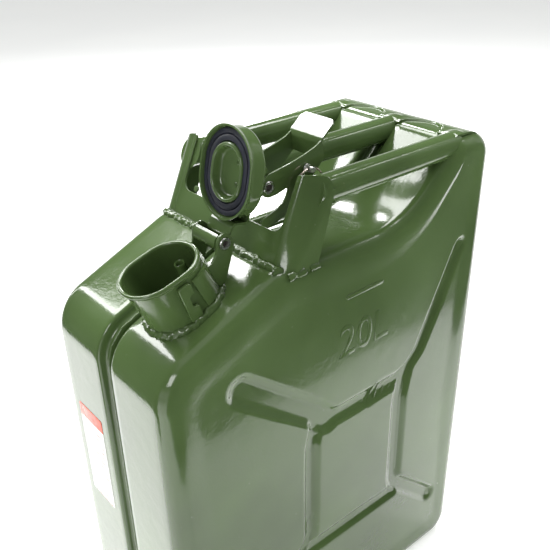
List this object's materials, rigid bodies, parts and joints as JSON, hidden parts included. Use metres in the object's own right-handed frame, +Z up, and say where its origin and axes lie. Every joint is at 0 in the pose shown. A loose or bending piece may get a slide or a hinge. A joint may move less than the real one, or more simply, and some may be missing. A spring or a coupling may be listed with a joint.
{
  "type": "jerry can",
  "caption": "Pressed-steel fuel can with a tube carrying handle, off-centre pouring neck, hinged cap with gasket, clawed latch lever and ring-pull lock pin; shown open.",
  "frame": {"origin": "centre of the overall box at floor level, can standing upright", "axes": "+Z up, -Y towards the pouring neck, +Y towards the rear hump, +X to the side the neck is offset to"},
  "size_m": [0.165, 0.3453, 0.5097],
  "materials": {
    "green_paint": "gloss",
    "green_weld_paint": "rough gloss over weld",
    "gasket_rubber": "satin",
    "zinc": "bright zinc plate",
    "nickel_wire": "worn nickel",
    "label_print": "printed film"
  },
  "bodies": {
    "can": {"left_shell": "green_paint", "right_shell": "green_paint", "seam_ridge": "green_weld_paint", "front_bracket": "green_paint", "left_handle": "green_paint", "centre_handle": "green_paint", "right_handle": "green_paint", "rear_cover": "green_paint", "plate_weld": "green_weld_paint", "flange_welds": "green_weld_paint", "latch_lugs": "green_paint", "neck": "green_paint", "neck_weld": "green_weld_paint", "breather_tube": "green_paint", "hinge_bracket": "green_paint", "hinge_pin": "zinc", "side_label": "label_print"},
    "cap": {"cap_shell": "green_paint", "cap_gasket": "gasket_rubber", "cap_insert": "green_paint", "insert_welds": "green_weld_paint", "cap_strap": "green_paint", "lever_bracket": "green_paint", "lever_rivets": "zinc"},
    "lever": {"lever": "green_paint"},
    "lock_pin": {"lock_pin": "zinc"},
    "pin_ring": {"pin_ring": "nickel_wire"}
  },
  "joints": [
    {"name": "cap_hinge", "type": "hinge", "parent": "can", "child": "cap", "pos_m": [0.032, -0.09032, 0.4319], "axis": [1, 0, 0], "range_deg": [0, 120]},
    {"name": "lever_pivot", "type": "hinge", "parent": "cap", "child": "lever", "pos_m": [0.032, -0.0511, 0.46394], "axis": [1, 0, 0], "range_deg": [0, 65]},
    {"name": "pin_turn", "type": "hinge", "parent": "lever", "child": "lock_pin", "pos_m": [0.0533, -0.0146, 0.46994], "axis": [1, 0, 0], "range_deg": [-15, 60]},
    {"name": "ring_turn", "type": "hinge", "parent": "lock_pin", "child": "pin_ring", "pos_m": [0.0533, -0.0146, 0.45594], "axis": [1, 0, 0], "continuous": true}
  ]
}
